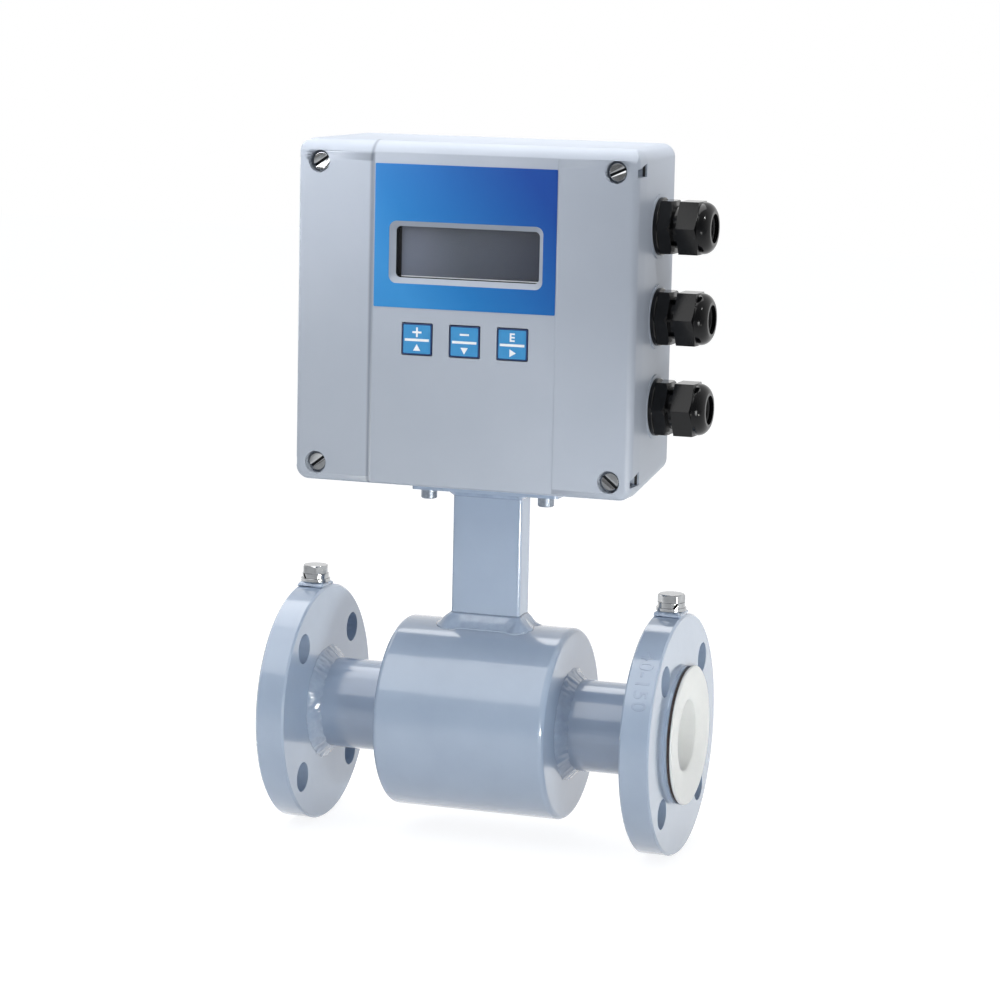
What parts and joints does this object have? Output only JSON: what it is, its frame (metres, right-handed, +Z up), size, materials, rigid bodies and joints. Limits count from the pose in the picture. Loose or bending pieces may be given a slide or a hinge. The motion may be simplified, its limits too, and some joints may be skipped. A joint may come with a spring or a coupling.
{
  "type": "electromagnetic flow meter",
  "caption": "Electromagnetic flow meter: a flanged, lined sensor tube in a round coil housing, with a neck that carries a converter box with display, keys and cable glands.",
  "frame": {"origin": "on the pipe axis, midway between the two flange faces", "axes": "+X along the flow, towards the cable glands' side; -Y is the display side; +Z up"},
  "size_m": [0.2323, 0.127, 0.37],
  "materials": {
    "sensor_paint": "glossy slate-blue paint over welded steel",
    "liner_fluoroplastic": "smooth white fluoroplastic",
    "core_iron": "bare soft iron",
    "copper_winding": "lacquered copper winding under tape",
    "electrode_steel": "bright stainless steel",
    "case_paint": "satin light blue-grey powder coat on die-cast aluminium",
    "gasket_rubber": "matt black rubber",
    "dark_steel": "dark painted steel",
    "zinc_steel": "bright zinc plate",
    "label_blue": "printed film, mid blue",
    "clear_pane": "clear plastic pane",
    "black_foam": "closed-cell foam",
    "lcd_grey": "dark grey display, off",
    "circuit_board": "green solder mask",
    "black_plastic": "moulded black plastic",
    "key_blue": "light blue keys with a dark blue edge",
    "terminal_green": "green terminal housings",
    "black_nylon": "black nylon with a soft sheen"
  },
  "bodies": {
    "meter": {"flange_inlet": "sensor_paint", "flange_outlet": "sensor_paint", "flange_welds": "sensor_paint", "measuring_tube": "sensor_paint", "coil_housing": "sensor_paint", "housing_end_inlet": "sensor_paint", "housing_end_outlet": "sensor_paint", "housing_welds": "sensor_paint", "neck_tube": "sensor_paint", "neck_weld_lower": "sensor_paint", "neck_weld_upper": "sensor_paint", "mounting_plate": "sensor_paint", "ground_pads": "sensor_paint", "liner": "liner_fluoroplastic", "liner_flares": "liner_fluoroplastic", "electrode_bushings": "liner_fluoroplastic", "pole_shoe_upper": "core_iron", "pole_shoe_lower": "core_iron", "return_band": "core_iron", "coil_upper": "copper_winding", "coil_lower": "copper_winding", "electrode_front": "electrode_steel", "electrode_rear": "electrode_steel", "electrode_nuts": "electrode_steel", "enclosure_base": "case_paint", "cover": "case_paint", "plate_gasket": "gasket_rubber", "cover_gasket": "gasket_rubber", "plate_screws": "dark_steel", "cover_screws": "zinc_steel", "display_screws": "zinc_steel", "board_screws": "zinc_steel", "ground_bolts": "zinc_steel", "ground_spring_washers": "zinc_steel", "ground_washers": "zinc_steel", "label_overlay": "label_blue", "display_window": "clear_pane", "display_frame": "black_foam", "lcd_module": "lcd_grey", "display_board": "circuit_board", "main_board": "circuit_board", "key_switches": "black_plastic", "power_module": "black_plastic", "terminal_blocks": "terminal_green", "gland_body_1": "black_nylon", "gland_body_2": "black_nylon", "gland_body_3": "black_nylon", "gland_locknut_1": "black_nylon", "gland_locknut_2": "black_nylon", "gland_locknut_3": "black_nylon"},
    "key_plus_cap": {"key_plus": "key_blue"},
    "key_minus_cap": {"key_minus": "key_blue"},
    "key_enter_cap": {"key_enter": "key_blue"},
    "seal_1": {"gland_seal_1": "gasket_rubber"},
    "nut_1": {"gland_nut_1": "black_nylon"},
    "seal_2": {"gland_seal_2": "gasket_rubber"},
    "nut_2": {"gland_nut_2": "black_nylon"},
    "seal_3": {"gland_seal_3": "gasket_rubber"},
    "nut_3": {"gland_nut_3": "black_nylon"}
  },
  "joints": [
    {"name": "key_plus_press", "type": "slide", "parent": "meter", "child": "key_plus_cap", "axis": [0, 1, 0], "range_m": [0, 0.0008], "stiffness_N_per_m": 1500},
    {"name": "key_minus_press", "type": "slide", "parent": "meter", "child": "key_minus_cap", "axis": [0, 1, 0], "range_m": [0, 0.0008], "stiffness_N_per_m": 1500},
    {"name": "key_enter_press", "type": "slide", "parent": "meter", "child": "key_enter_cap", "axis": [0, 1, 0], "range_m": [0, 0.0008], "stiffness_N_per_m": 1500},
    {"name": "gland_seal_1_slide", "type": "slide", "parent": "meter", "child": "seal_1", "axis": [1, 0, 0], "range_m": [0, 0.003]},
    {"name": "gland_nut_1_turn", "type": "hinge", "parent": "seal_1", "child": "nut_1", "pos_m": [0.11, -0.0095, 0.2658], "axis": [1, 0, 0], "range_deg": [0, 720]},
    {"name": "gland_seal_2_slide", "type": "slide", "parent": "meter", "child": "seal_2", "axis": [1, 0, 0], "range_m": [0, 0.003]},
    {"name": "gland_nut_2_turn", "type": "hinge", "parent": "seal_2", "child": "nut_2", "pos_m": [0.11, -0.0095, 0.2193], "axis": [1, 0, 0], "range_deg": [0, 720]},
    {"name": "gland_seal_3_slide", "type": "slide", "parent": "meter", "child": "seal_3", "axis": [1, 0, 0], "range_m": [0, 0.003]},
    {"name": "gland_nut_3_turn", "type": "hinge", "parent": "seal_3", "child": "nut_3", "pos_m": [0.11, -0.0095, 0.1728], "axis": [1, 0, 0], "range_deg": [0, 720]}
  ],
  "couplings": [
    {"joint": "gland_nut_1_turn", "follows": "gland_seal_1_slide", "rad_per_m": 4188.8},
    {"joint": "gland_nut_2_turn", "follows": "gland_seal_2_slide", "rad_per_m": 4188.8},
    {"joint": "gland_nut_3_turn", "follows": "gland_seal_3_slide", "rad_per_m": 4188.8}
  ]
}
